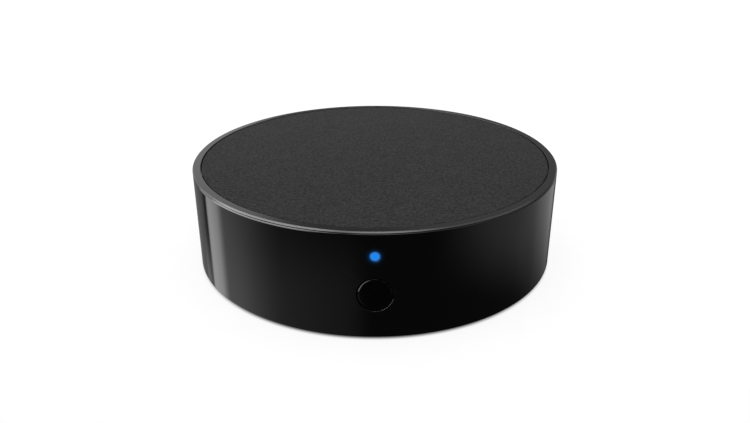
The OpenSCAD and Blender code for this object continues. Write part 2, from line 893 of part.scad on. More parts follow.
// Aluminium can with a rolled neck above its base
module capacitor_can() {
    r = can_d / 2;
    color("silver") translate([can_x, y_power, z_parts + can_base_h]) rotate_extrude()
        polygon([
            [0, 0], [r, 0], [r, can_neck_h - can_neck], [r - can_neck, can_neck_h],
            [r, can_neck_h + can_neck], [r, can_h - can_edge], [r - can_edge, can_h], [0, can_h]]);
}

module capacitor_base() {
    half = can_base_w / 2;
    color("black") translate([can_x, y_power, z_parts]) linear_extrude(can_base_h)
        polygon([
            [-half, -half], [half - can_base_chamfer, -half], [half, can_base_chamfer - half],
            [half, half - can_base_chamfer], [half - can_base_chamfer, half], [-half, half]]);
}

module transistor_places() {
    mid = (transistor_count - 1) / 2;
    for (i = [0 : transistor_count - 1])
        translate([(i - mid) * transistor_spacing, y_module + transistor_share * chip_reach, z_parts])
            children();
}

module driver_transistors() {
    color("black") transistor_places() block(transistor_w, transistor_d, seat_gap, transistor_h);
}

module transistor_pins() {
    out = chip_foot + chip_pin_t * 3 / 2;
    color("silver") transistor_places() {
        for (s = [-1, 1])
            translate([s * transistor_pin_spacing / 2, -transistor_d / 2, 0]) rotate([0, 0, -90])
                gull_pin(transistor_pin_w, out);
        translate([0, transistor_d / 2, 0]) rotate([0, 0, 90]) gull_pin(transistor_pin_w, out);
    }
}

module chip_resistors() {
    mid = (resistor_count - 1) / 2;
    color("black") for (i = [0 : resistor_count - 1])
        block(resistor_d, resistor_w, z_parts, z_parts + resistor_h, (i - mid) * resistor_spacing,
            y_module + resistor_share * chip_reach);
}

module chip_capacitors() {
    mid = (chip_capacitor_count - 1) / 2;
    color("tan") for (i = [0 : chip_capacitor_count - 1])
        block(resistor_w, resistor_d, z_parts, z_parts + chip_capacitor_h,
            -module_w / 2 - chip_capacitor_gap - resistor_w / 2, (i - mid) * chip_capacitor_spacing);
}

side_shell();
top_cover();
top_panel();
base_cover();
foot_ring();
button_cap();
switch_plunger();
switch_dome();
switch_body();
switch_bracket();
switch_pins();
light_pipe();
indicator_led();
main_board();
housing_screws();
board_screws();
for (i = [0 : len(emitter_angles) - 1])
    ir_emitter(i);
emitter_leads();
ir_receiver();
receiver_leads();
wifi_board();
wifi_shield();
wifi_chip();
wifi_crystal();
wifi_antenna();
usb_shell();
usb_insulator();
usb_contacts();
regulator();
regulator_pins();
capacitor_can();
capacitor_base();
driver_transistors();
transistor_pins();
chip_resistors();
chip_capacitors();
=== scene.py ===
import math

import bmesh
import bpy
from mathutils import Matrix, Vector


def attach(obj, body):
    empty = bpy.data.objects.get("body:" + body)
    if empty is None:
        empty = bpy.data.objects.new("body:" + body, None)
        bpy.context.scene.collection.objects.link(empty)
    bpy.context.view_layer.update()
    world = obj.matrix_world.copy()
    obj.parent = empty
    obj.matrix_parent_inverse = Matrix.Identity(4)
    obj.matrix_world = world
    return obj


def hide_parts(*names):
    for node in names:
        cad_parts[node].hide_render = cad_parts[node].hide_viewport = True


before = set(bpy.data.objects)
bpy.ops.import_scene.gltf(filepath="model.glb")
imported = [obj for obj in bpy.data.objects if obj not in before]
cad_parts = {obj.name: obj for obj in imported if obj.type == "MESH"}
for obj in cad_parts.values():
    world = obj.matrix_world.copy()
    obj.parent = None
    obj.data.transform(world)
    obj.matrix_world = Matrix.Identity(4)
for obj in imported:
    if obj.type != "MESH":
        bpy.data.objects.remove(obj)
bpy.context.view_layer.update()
mm = 0.001


# Colours are written as sRGB hex and used as linear values
def linear(hexColour):
    parts = [int(hexColour[i:i + 2], 16) / 255 for i in (1, 3, 5)]
    return [p / 12.92 if p <= 0.04045 else ((p + 0.055) / 1.055) ** 2.4 for p in parts] + [1]


# Adds a shader node, sets its options, and links or sets its inputs
def addNode(tree, kind, inputs=None, **options):
    made = tree.nodes.new("ShaderNode" + kind)
    for option, value in options.items():
        setattr(made, option, value)
    for key, value in (inputs or {}).items():
        if isinstance(value, bpy.types.NodeSocket):
            tree.links.new(value, made.inputs[key])
        else:
            made.inputs[key].default_value = value
    return made


# Camera, as the photograph was taken, about 138 mm from the middle of the puck
view = {"lens": 34.51, "sensor": 36, "place": (0, -126.00, 63.55), "aim": (0.021, 0, 6.805), "roll": -0.075}
cameraData = bpy.data.cameras.new("camera")
cameraData.lens = view["lens"]
cameraData.sensor_width = view["sensor"]
camera = bpy.data.objects.new("camera", cameraData)
bpy.context.scene.collection.objects.link(camera)
cameraPlace = Vector(view["place"]) * mm
turn = (Vector(view["aim"]) * mm - cameraPlace).to_track_quat("-Z", "Y").to_matrix().to_4x4()
camera.matrix_world = Matrix.Translation(cameraPlace) @ turn @ Matrix.Rotation(math.radians(view["roll"]), 4, "Z")
bpy.context.scene.camera = camera
bpy.context.scene.view_settings.view_transform = "Standard"
print("camera ready")

# Soft studio light. Azimuth runs from +Y towards +X, and up is the height above the horizon, in degrees.
# Each softbox fills a span of both, and fades out over its soft edges before and after.
studio = {
    "ambient": 1.0, "base": 0.03,
    "softboxes": {
        "strip": {"azimuth": (-64, -53), "soft": (10, 2.2), "up": (-45, 20), "softUp": (10, 10), "power": 0.85},
        "wash": {"azimuth": (-80, -58), "soft": (44, 8), "up": (-45, 15), "softUp": (15, 10), "power": 0.34},
        "wide": {"azimuth": (-85, -52), "soft": (95, 4), "up": (-60, -32), "softUp": (5, 16), "power": 0.17},
        "low": {"azimuth": (-160, -90), "soft": (20, 20), "up": (-60, -31), "softUp": (5, 6), "power": 0.08},
        "beyond": {"azimuth": (-42, -20), "soft": (9, 20), "up": (-60, 0), "softUp": (5, 10), "power": 0.17},
        "lowBand": {"azimuth": (-50, -42), "soft": (2, 4), "up": (-60, -29.5), "softUp": (5, 5), "power": 0.22},
        "right": {"azimuth": (80, 98), "soft": (20, 50), "up": (-24.5, 10), "softUp": (6.5, 10), "power": 0.24},
        "rightBack": {"azimuth": (35, 55), "soft": (14, 27), "up": (-20, 0), "softUp": (12, 10), "power": 0.47},
        "rimLeft": {"azimuth": (-85, -10.5), "soft": (20, 3), "up": (3, 32), "softUp": (8, 8), "power": 0.7},
        "rimBack": {"azimuth": (-9, 4), "soft": (4, 6), "up": (-2, 17), "softUp": (6, 3), "power": 0.23},
        "rimRight": {"azimuth": (5, 40), "soft": (4, 20), "up": (3, 32), "softUp": (8, 8), "power": 0.14},
        "key": {"azimuth": (-130, -60), "soft": (30, 20), "up": (33, 65), "softUp": (12, 15), "power": 5.6},
        "overhead": {"azimuth": (-200, -165), "soft": (50, 20), "up": (58, 75), "softUp": (10, 10), "power": 4.2},
        "rightHigh": {"azimuth": (65, 115), "soft": (40, 40), "up": (33, 57), "softUp": (15, 15), "power": 0.8},
        "crescent": {"azimuth": (-130, -75), "soft": (20, 10), "up": (-16, 25), "softUp": (4, 8), "power": 4},
    }}
world = bpy.data.worlds.new("studio")
bpy.context.scene.world = world
world.use_nodes = True
sky = world.node_tree
sky.nodes.clear()
direction = addNode(sky, "SeparateXYZ", {0: addNode(sky, "TexCoord").outputs["Generated"]})
azimuth = addNode(sky, "Math", {0: direction.outputs["X"], 1: direction.outputs["Y"]}, operation="ARCTAN2")
azimuth = addNode(sky, "Math", {0: azimuth.outputs[0]}, operation="DEGREES")
upward = addNode(sky, "Math", {0: direction.outputs["Z"]}, operation="ARCSINE")
upward = addNode(sky, "Math", {0: upward.outputs[0]}, operation="DEGREES")
seen = studio["base"]
for box in studio["softboxes"].values():
    start, end = box["azimuth"]
    across = addNode(sky, "Math", {0: azimuth.outputs[0], 1: (start + end) / 2}, operation="SUBTRACT")
    across = addNode(sky, "Math", {0: across.outputs[0], 1: 180, 2: -180}, operation="WRAP")
    half = (end - start) / 2
    level = box["power"]
    for place, edge, reach in (
            (across, -half, -box["soft"][0]), (across, half, box["soft"][1]),
            (upward, box["up"][0], -box["softUp"][0]), (upward, box["up"][1], box["softUp"][1])):
        level = addNode(sky, "MapRange", {
            "Value": place.outputs[0], "From Min": edge + reach, "From Max": edge, "To Min": 0,
            "To Max": level}, interpolation_type="SMOOTHSTEP").outputs[0]
    seen = addNode(sky, "Math", {0: level, 1: seen}).outputs[0]
reflected = addNode(sky, "Background", {"Color": (1, 1, 1, 1), "Strength": seen})
ambient = addNode(sky, "Background", {"Color": (1, 1, 1, 1), "Strength": studio["ambient"]})
path = addNode(sky, "LightPath")
mixed = addNode(sky, "MixShader", {0: path.outputs["Is Glossy Ray"], 1: ambient.outputs[0], 2: reflected.outputs[0]})
addNode(sky, "OutputWorld", {"Surface": mixed.outputs[0]})

# Floor: a pale, even sweep of paper that glows evenly, so that it stays near white with a faint shadow.
# The glow fades out at the puck's edge and is gone beneath it, a painted shadow where the puck stands on it
backdrop = {"radius": 1500, "glow": 0.8, "shade": (0.24, 0.27), "puck": (32.1, 33.3)}
floorMesh = bpy.data.meshes.new("floor")
shape = bmesh.new()
bmesh.ops.create_circle(shape, cap_ends=True, radius=backdrop["radius"] * mm, segments=64)
shape.to_mesh(floorMesh)
shape.free()
floor = bpy.data.objects.new("floor", floorMesh)
bpy.context.scene.collection.objects.link(floor)
floor.visible_glossy = False
paper = bpy.data.materials.new("studio_paper")
paper.use_nodes = True
surface = paper.node_tree.nodes["Principled BSDF"]
spot = addNode(paper.node_tree, "TexCoord").outputs["Object"]
fibres = addNode(paper.node_tree, "TexNoise", {"Vector": spot, "Scale": 1 / (4 * mm), "Detail": 3})
shade = addNode(paper.node_tree, "MapRange", {
    "Value": fibres.outputs["Fac"], "To Min": backdrop["shade"][0], "To Max": backdrop["shade"][1]})
paper.node_tree.links.new(shade.outputs[0], surface.inputs["Base Color"])
# painted shadow: the floor's glow fades to nothing at the puck's edge and under it
away = addNode(paper.node_tree, "VectorMath", {0: spot}, operation="LENGTH")
glow = addNode(paper.node_tree, "MapRange", {
    "Value": away.outputs["Value"], "From Min": backdrop["puck"][0] * mm, "From Max": backdrop["puck"][1] * mm,
    "To Min": 0, "To Max": backdrop["glow"]}, interpolation_type="SMOOTHSTEP")
paper.node_tree.links.new(glow.outputs[0], surface.inputs["Emission Strength"])
surface.inputs["Emission Color"].default_value = (1, 1, 1, 1)
surface.inputs["Roughness"].default_value = 0.9
surface.inputs["Specular IOR Level"].default_value = 0
floorMesh.materials.append(paper)
print("light and floor ready")


# Corner points among the parts that an operator hands back
def vertsIn(parts):
    return [v for v in parts if isinstance(v, bmesh.types.BMVert)]


# Turns a closed outline of (radius, height) corners round Z. A third number rounds that corner. All in mm.
# A sweep under 360 degrees starts at +X and is closed at both ends.
def turned(outline, steps, sweep=360, rounding=5):
    shape = bmesh.new()
    corners = [shape.verts.new((corner[0] * mm, 0, corner[1] * mm)) for corner in outline]
    shape.faces.new(corners)
    for corner, (radius, height, *rounds) in zip(corners, outline):
        if rounds:
            bmesh.ops.bevel(shape, geom=[corner], offset=rounds[0] * mm, affect="VERTICES", segments=rounding,
                            profile=0.5, material=-1)
    if sweep == 360:
        bmesh.ops.delete(shape, geom=shape.faces[:], context="FACES_ONLY")
        onAxis = [e for e in shape.edges if all(abs(v.co.x) < mm / 1000 for v in e.verts)]
        bmesh.ops.delete(shape, geom=onAxis, context="EDGES")
    bmesh.ops.spin(shape, geom=shape.verts[:] + shape.edges[:] + shape.faces[:], cent=(0, 0, 0), axis=(0, 0, 1),
                   dvec=(0, 0, 0), angle=math.radians(sweep), steps=steps, use_merge=sweep == 360,
                   use_duplicate=False)
    bmesh.ops.remove_doubles(shape, verts=shape.verts[:], dist=mm / 5000)
    bmesh.ops.recalc_face_normals(shape, faces=shape.faces[:])
    return shape


# Turns what was made round Z so that it runs inwards from the front face, at a height
def turnToFront(shape, y, z):
    bmesh.ops.rotate(shape, verts=shape.verts[:], cent=(0, 0, 0), matrix=Matrix.Rotation(-math.pi / 2, 3, "X"))
    bmesh.ops.translate(shape, verts=shape.verts[:], vec=Vector((0, y, z)) * mm)


# Straight plate with an outline of (x, y) corners, between two heights, with softened edges. All in mm.
def plate(outline, low, high, soften):
    shape = bmesh.new()
    face = shape.faces.new([shape.verts.new((x * mm, y * mm, low * mm)) for x, y in outline])
    raised = bmesh.ops.extrude_face_region(shape, geom=[face])["geom"]
    bmesh.ops.translate(shape, verts=vertsIn(raised), vec=(0, 0, (high - low) * mm))
    bmesh.ops.recalc_face_normals(shape, faces=shape.faces[:])
    bmesh.ops.bevel(shape, geom=shape.edges[:], offset=soften * mm, affect="EDGES", segments=2, profile=0.5,
                    material=-1)
    return shape


# Outline of an oblong, for a plate
def oblong(wide, deep, x=0, y=0):
    return [(x + a * wide / 2, y + b * deep / 2) for a, b in ((-1, -1), (1, -1), (1, 1), (-1, 1))]


# Adds a part to a shape, as it lies or once for each matrix, and clears the part away
def addCopies(shape, part, places=(Matrix(),)):
    mesh = bpy.data.meshes.new("copy")
    part.to_mesh(mesh)
    part.free()
    for place in places:
        mesh.transform(place)
        shape.from_mesh(mesh)
        mesh.transform(place.inverted())
    bpy.data.meshes.remove(mesh)


# Place at an angle round the middle, at a radius and height
def polar(angle, radius=0, height=0):
    return Matrix.Rotation(math.radians(angle), 4, "Z") @ Matrix.Translation(Vector((radius, 0, height)) * mm)


# Stands a plate up, so that its outline runs in X and Z and its thickness in Y
upright = Matrix.Rotation(math.pi / 2, 4, "X")


# Makes the object: smooth but for edges over 35 degrees, riding its body, in place of its CAD node
def finishPiece(name, shape, material, node, body="housing"):
    mesh = bpy.data.meshes.new(name)
    shape.to_mesh(mesh)
    shape.free()
    mesh.polygons.foreach_set("use_smooth", [True] * len(mesh.polygons))
    mesh.set_sharp_from_angle(angle=math.radians(35))
    mesh.materials.append(material)
    piece = bpy.data.objects.new(name, mesh)
    bpy.context.scene.collection.objects.link(piece)
    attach(piece, body)
    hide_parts(node)
    print("made", name, len(mesh.polygons), "faces")


# Starts a material and returns it with its tree and shader, so that its pattern nodes can follow
def startMaterial(name, **sockets):
    material = bpy.data.materials.new(name)
    material.use_nodes = True
    tree = material.node_tree
    shader = tree.nodes["Principled BSDF"]
    for socket, value in sockets.items():
        shader.inputs[socket.replace("_", " ")].default_value = value
    return material, tree, shader


# Middle of the light, where its guide ends in the shell
lightPlace = Vector((0, -33, 14.4)) * mm


# Polycarbonate that passes infrared: moulded, deep black, polished, with the faint waviness of a gloss moulding.
# A blue glow painted into the plastic round the indicator stands in for light that leaks into it.
def makePolycarbonate():
    look = {"colour": "#020202", "wave": 1.6, "waveDepth": 0.0004, "haze": 6, "roughness": (0.035, 0.065),
            "glow": "#0095FF", "glowFrom": 0.83, "glowReach": 0.17, "glowPower": 0.09}
    material, tree, shader = startMaterial("polycarbonate_gloss", Base_Color=linear(look["colour"]), IOR=1.586)
    place = addNode(tree, "TexCoord").outputs["Object"]
    wave = addNode(tree, "TexNoise", {"Vector": place, "Scale": 1 / (look["wave"] * mm), "Detail": 1})
    bump = addNode(tree, "Bump", {"Height": wave.outputs["Fac"], "Distance": look["waveDepth"] * mm, "Strength": 1})
    tree.links.new(bump.outputs["Normal"], shader.inputs["Normal"])
    haze = addNode(tree, "TexNoise", {"Vector": place, "Scale": 1 / (look["haze"] * mm), "Detail": 4})
    rough = addNode(tree, "MapRange", {
        "Value": haze.outputs["Fac"], "To Min": look["roughness"][0], "To Max": look["roughness"][1]})
    tree.links.new(rough.outputs["Result"], shader.inputs["Roughness"])
    # painted glow: blue emission in the wall that fades away from the middle of the light
    away = addNode(tree, "VectorMath", {0: place, 1: lightPlace}, operation="DISTANCE")
    fade = addNode(tree, "Math", {
        0: away.outputs["Value"], 1: -1 / (look["glowReach"] * mm), 2: look["glowFrom"] / look["glowReach"]},
        operation="MULTIPLY_ADD")
    fade = addNode(tree, "Math", {0: fade.outputs[0]}, operation="EXPONENT")
    power = addNode(tree, "Math", {0: fade.outputs[0], 1: look["glowPower"]}, operation="MULTIPLY")
    tree.links.new(power.outputs[0], shader.inputs["Emission Strength"])
    shader.inputs["Emission Color"].default_value = linear(look["glow"])
    return material


# ABS with a fine spark-eroded grain: matte, but smooth enough to catch a broad light at a low angle
def makeRimAbs():
    look = {"colour": "#282828", "roughness": 0.19, "grain": 0.12, "grainDepth": 0.004}
    material, tree, shader = startMaterial(
        "abs_fine_grain", Base_Color=linear(look["colour"]), IOR=1.53, Roughness=look["roughness"])
    place = addNode(tree, "TexCoord").outputs["Object"]
    grain = addNode(tree, "TexNoise", {"Vector": place, "Scale": 1 / (look["grain"] * mm), "Detail": 2})
    bump = addNode(tree, "Bump", {
        "Height": grain.outputs["Fac"], "Distance": look["grainDepth"] * mm, "Strength": 0.6})
    tree.links.new(bump.outputs["Normal"], shader.inputs["Normal"])
    return material


# ABS with a coarse etched stipple, which scatters all light and shows a fine speckle over a faint mottle
def makePanelAbs():
    look = {"dark": "#1F1F1F", "pale": "#3B3B3B", "contrast": (0.36, 0.76), "speckle": 0.45, "speckleDepth": 0.05,
            "mottle": 2.5, "mottleShare": 0.12}
    material, tree, shader = startMaterial("abs_etched_stipple", IOR=1.53, Roughness=0.9, Specular_IOR_Level=0.1)
    place = addNode(tree, "TexCoord").outputs["Object"]
    speckle = addNode(tree, "TexNoise", {
        "Vector": place, "Scale": 1 / (look["speckle"] * mm), "Detail": 3, "Roughness": 0.6})
    mottle = addNode(tree, "TexNoise", {"Vector": place, "Scale": 1 / (look["mottle"] * mm), "Detail": 3})
    both = addNode(tree, "Math", {
        0: mottle.outputs["Fac"], 1: look["mottleShare"], 2: speckle.outputs["Fac"]}, operation="MULTIPLY_ADD")
    tone = addNode(tree, "MapRange", {
        "Value": both.outputs[0], "From Min": look["contrast"][0], "From Max": look["contrast"][1]})
    colour = addNode(tree, "Mix", {
        "Factor": tone.outputs[0], "A": linear(look["dark"]), "B": linear(look["pale"])}, data_type="RGBA")
    tree.links.new(colour.outputs["Result"], shader.inputs["Base Color"])
    bump = addNode(tree, "Bump", {
        "Height": speckle.outputs["Fac"], "Distance": look["speckleDepth"] * mm, "Strength": 0.5})
    tree.links.new(bump.outputs["Normal"], shader.inputs["Normal"])
    return material


# Acrylic light guide: clear and polished, and lit blue where it ends in the shell
def makeAcrylic():
    look = {"clear": "#DDEBF5", "deep": "#03060A", "lit": "#1488F6", "litEdge": "#3181D8", "depth": (-32.3, -32.8),
            "pale": (0.3, 0.6), "fade": (0.58, 0.84), "fadeTo": 0.2}
    material, tree, shader = startMaterial("acrylic_clear", IOR=1.49, Roughness=0.1, Transmission_Weight=0.9)
    place = addNode(tree, "TexCoord").outputs["Object"]
    along = addNode(tree, "SeparateXYZ", {0: place})
    lit = addNode(tree, "MapRange", {
        "Value": along.outputs["Y"], "From Min": look["depth"][0] * mm, "From Max": look["depth"][1] * mm})
    away = addNode(tree, "VectorMath", {0: place, 1: lightPlace}, operation="DISTANCE")
    fade = addNode(tree, "MapRange", {
        "Value": away.outputs["Value"], "From Min": look["fade"][0] * mm, "From Max": look["fade"][1] * mm,
        "To Min": 1, "To Max": look["fadeTo"]})
    power = addNode(tree, "Math", {0: lit.outputs[0], 1: fade.outputs[0]}, operation="MULTIPLY")
    tree.links.new(power.outputs[0], shader.inputs["Emission Strength"])
    pale = addNode(tree, "MapRange", {
        "Value": away.outputs["Value"], "From Min": look["pale"][0] * mm, "From Max": look["pale"][1] * mm})
    for socketName, factor, start, end in (
            ("Emission Color", pale, "lit", "litEdge"), ("Base Color", lit, "clear", "deep")):
        colour = addNode(tree, "Mix", {
            "Factor": factor.outputs[0], "A": linear(look[start]), "B": linear(look[end])}, data_type="RGBA")
        tree.links.new(colour.outputs["Result"], shader.inputs[socketName])
    return material


# Moulded plastic, rubber, epoxy or ceramic: two close tones in soft patches, and a grain left by the mould
def makeMoulded(name, tones, roughness, ior, grain, depth, patch=2, **sockets):
    material, tree, shader = startMaterial(name, IOR=ior, **sockets)
    place = addNode(tree, "TexCoord").outputs["Object"]
    patches = addNode(tree, "TexNoise", {"Vector": place, "Scale": 1 / (patch * mm), "Detail": 4})
    colour = addNode(tree, "Mix", {
        "Factor": patches.outputs["Fac"], "A": linear(tones[0]), "B": linear(tones[1])}, data_type="RGBA")
    tree.links.new(colour.outputs["Result"], shader.inputs["Base Color"])
    rough = addNode(tree, "MapRange", {
        "Value": patches.outputs["Fac"], "To Min": roughness[0], "To Max": roughness[1]})
    tree.links.new(rough.outputs[0], shader.inputs["Roughness"])
    pits = addNode(tree, "TexNoise", {"Vector": place, "Scale": 1 / (grain * mm), "Detail": 2})
    bump = addNode(tree, "Bump", {"Height": pits.outputs["Fac"], "Distance": depth * mm, "Strength": 1})
    tree.links.new(bump.outputs["Normal"], shader.inputs["Normal"])
    return material


# Plated or bright metal: a roughness that drifts over the plating, and fine marks drawn out along one way
def makeMetal(name, colour, roughness, marks, depth, patch=1.5):
    material, tree, shader = startMaterial(name, Base_Color=linear(colour), Metallic=1)
    place = addNode(tree, "TexCoord").outputs["Object"]
    drift = addNode(tree, "TexNoise", {"Vector": place, "Scale": 1 / (patch * mm), "Detail": 3})
    rough = addNode(tree, "MapRange", {"Value": drift.outputs["Fac"], "To Min": roughness[0], "To Max": roughness[1]})
    tree.links.new(rough.outputs[0], shader.inputs["Roughness"])
    drawn = addNode(tree, "Mapping", {"Vector": place, "Scale": [1 / (size * mm) for size in marks]})
    lines = addNode(tree, "TexNoise", {"Vector": drawn.outputs[0], "Scale": 1, "Detail": 2})
    bump = addNode(tree, "Bump", {"Height": lines.outputs["Fac"], "Distance": depth * mm, "Strength": 1})
    tree.links.new(bump.outputs["Normal"], shader.inputs["Normal"])
    return material


# Circuit board: solder mask over copper tracks on its faces, bare glass fibre on its cut edges
def makeBoard(name, mask, track, fibre, spacing):
    material, tree, shader = startMaterial(name, IOR=1.5, Roughness=0.3)
    place = addNode(tree, "TexCoord").outputs["Object"]
    tracks = addNode(tree, "TexBrick", {
        "Vector": place, "Scale": 1 / (spacing * mm), "Color1": linear(mask), "Color2": linear(mask),
        "Mortar": linear(track), "Mortar Size": 0.08, "Brick Width": 1.7, "Row Height": 0.6})
    facing = addNode(tree, "SeparateXYZ", {0: addNode(tree, "NewGeometry").outputs["Normal"]})
    flat = addNode(tree, "Math", {0: facing.outputs["Z"]}, operation="ABSOLUTE")
    cut = addNode(tree, "Math", {0: flat.outputs[0], 1: 0.5}, operation="LESS_THAN")
    colour = addNode(tree, "Mix", {
        "Factor": cut.outputs[0], "A": tracks.outputs["Color"], "B": linear(fibre)}, data_type="RGBA")
    tree.links.new(colour.outputs["Result"], shader.inputs["Base Color"])
    bump = addNode(tree, "Bump", {"Height": tracks.outputs["Fac"], "Distance": 0.02 * mm, "Strength": 0.6})
    tree.links.new(bump.outputs["Normal"], shader.inputs["Normal"])
    return material


# Side shell: one turned ring with a rebate for the lid, a step for the base, three openings and two key slots.
# An opening has half its width and height, the radius of its corners, a rounded edge, and a recess behind it.
# It is cut from a patch of the wall: half the patch's width, and the heights that it lies between.
shell = {
    "outer": 33, "inner": 31.2, "rebate": 32.2, "step": 31.8, "low": 0.4, "flange": 1.4, "seat": 16.55, "high": 18.05,
    "edge": 0.25, "columns": 360, "rows": (0.68, 2.5, 3.5, 5.4, 6.5, 8, 9.5, 11, 12.2, 13.6, 15, 16.4, 17.77),
    "slotHalf": 1.6, "slotDepth": 0.5, "slotHigh": 5.4,
    "openings": {
        "button": {"side": -1, "middle": 7.9, "half": (2.83, 2.83), "corner": 2.83, "edge": 0.05, "bore": 31.45,
                   "recess": 0.77, "patch": (5.2, 3.5, 12.2)},
        "light": {"side": -1, "middle": 14.4, "half": (0.83, 0.83), "corner": 0.83, "edge": 0.03, "bore": 31.45,
                  "recess": 0.57, "patch": (3.2, 12.2, 16.4)},
        "socket": {"side": 1, "middle": 6.025, "half": (4.5, 1.925), "corner": 0.9, "edge": 0.2, "bore": 0,
                   "recess": 0, "patch": (6.3, 2.5, 9.5)},
    }}


# Faces whose middle lies within 0.1 mm of a radius and between two heights, and passes a test
def facesAt(shape, radius, low, high, test):
    found = []
    for f in shape.faces:
        spot = f.calc_center_median() / mm
        if abs(math.hypot(spot.x, spot.y) - radius) < 0.1 and low < spot.z < high and test(spot):
            found.append(f)
    return found


# Distance from the middle of an opening to its outline, at an angle
def reach(opening, angle):
    halfWide, halfHigh = opening["half"]
    corner = opening["corner"]
    c, s = abs(math.cos(angle)), abs(math.sin(angle))
    if c > 0 and halfWide * s / c <= halfHigh - corner:
        return halfWide / c
    if s > 0 and halfHigh * c / s <= halfWide - corner:
        return halfHigh / s
    x, z = halfWide - corner, halfHigh - corner
    along = c * x + s * z
    return along + math.sqrt(along ** 2 - x ** 2 - z ** 2 + corner ** 2)


# Rings of an opening: two on the wall, one beside the edge, the rounded edge, and the bore with its recess.
# Each is (share of the way to the outline, growth of the outline, distance from the axis at x).
def openingRings(opening):
    def onRadius(radius, depth=0):
        return lambda x: math.sqrt(radius ** 2 - x ** 2) - depth

    edge, recess = opening["edge"], opening["recess"]
    rings = [(share, 0, onRadius(shell["outer"])) for share in (0.4, 0.8)]
    rings.append((1, edge + 0.03, onRadius(shell["outer"])))
    for i in range(5):
        angle = i * math.pi / 8
        rings.append((1, edge * (1 - math.sin(angle)), onRadius(shell["outer"], edge * (1 - math.cos(angle)))))
    if recess:
        rings += [(1, growth, lambda x: opening["bore"]) for growth in (0, recess)]
    return rings + [(1, recess, onRadius(shell["inner"]))]


# Opens a hole through the shell: its patch of faces goes, and rings are drawn in from the edge to the outline
def openHole(shape, opening):
    side, middle = opening["side"], opening["middle"]
    halfWide, low, high = opening["patch"]
    for radius in (shell["outer"], shell["inner"]):
        faces = facesAt(shape, radius, low, high, lambda spot: side * spot.y > 0 and abs(spot.x) < halfWide)
        drawn = [e for e in shape.edges if e.is_boundary]
        bmesh.ops.delete(shape, geom=faces, context="FACES")
        rim = [e for e in shape.edges if e.is_boundary and e not in drawn]
        bmesh.ops.subdivide_edges(shape, edges=rim, cuts=2)
        rim = [e for e in shape.edges if e.is_boundary and e not in drawn]
        if radius == shell["inner"]:
            bmesh.ops.bridge_loops(shape, edges=drawn + rim)
            continue
        for share, growth, depth in openingRings(opening):
            grown = bmesh.ops.extrude_edge_only(shape, edges=rim)["geom"]
            for v in vertsIn(grown):
                x, z = v.co.x / mm, v.co.z / mm - middle
                angle, far = math.atan2(z, x), math.hypot(x, z)
                far += share * (reach(opening, angle) + growth - far)
                x, z = far * math.cos(angle), far * math.sin(angle)
                v.co = Vector((x, side * depth(x), middle + z)) * mm
            rim = [e for e in grown if isinstance(e, bmesh.types.BMEdge) and e.is_boundary]


# Whether a spot lies within the width of a key slot
def inSlot(spot):
    return abs(spot.y) < shell["slotHalf"]


wall = [(shell["outer"], z) for z in shell["rows"]]
inside = [(shell["inner"], z) for z in reversed(shell["rows"]) if shell["flange"] < z < shell["seat"]]
shape = turned([
    (shell["outer"], shell["low"], shell["edge"]), *wall, (shell["outer"], shell["high"], shell["edge"]),
    (shell["rebate"], shell["high"]), (shell["rebate"], shell["seat"]), (shell["inner"], shell["seat"]), *inside,
    (shell["inner"], shell["flange"]), (shell["inner"] + shell["slotDepth"], shell["flange"]),
    (shell["step"], shell["flange"]), (shell["step"], shell["low"])], shell["columns"])
for opening in shell["openings"].values():
    openHole(shape, opening)
# the slots run up inside the wall, and are open towards the base
faces = facesAt(shape, shell["inner"], shell["flange"], shell["slotHigh"], inSlot)
pushed = bmesh.ops.extrude_face_region(shape, geom=faces)["geom"]
deeper = 1 + shell["slotDepth"] / shell["inner"]
bmesh.ops.scale(shape, verts=vertsIn(pushed), vec=(deeper, deeper, 1))
below = facesAt(
    shape, shell["inner"] + shell["slotDepth"] / 2, shell["flange"] - 0.01, shell["flange"] + 0.01, inSlot)
bmesh.ops.delete(shape, geom=faces + below, context="FACES")
bmesh.ops.remove_doubles(shape, verts=shape.verts[:], dist=mm / 5000)
bmesh.ops.recalc_face_normals(shape, faces=shape.faces[:])
finishPiece("side_shell_wall", shape, makePolycarbonate(), "side_shell")

# Lid: a turned cover with a recess for the panel, and under it a spigot, screw bosses, ribs and a cradle
lid = {
    "outer": 33, "rim": 31.6, "top": 18.4, "seat": 17.55, "lip": 18.15, "step": 32.1, "low": 16.55, "root": 17.05,
    "edge": 0.22, "spigot": (30.1, 31.1, 14.55), "notch": 4.6, "bossAngles": (30, 150, 210, 330), "bossPlace": 24.5,
    "boss": 2.5, "bossHole": 1.05, "bossLow": 3.2, "holeHigh": 10.2, "gusset": (2.4, 2.2, 4, 0.8), "hub": (7.2, 8),
    "ribs": 6, "ribLow": 15.55, "ribLong": 22.1, "ribThick": 0.8, "cradle": (1.5, -26.2, 4, 13.9), "soften": 0.1}
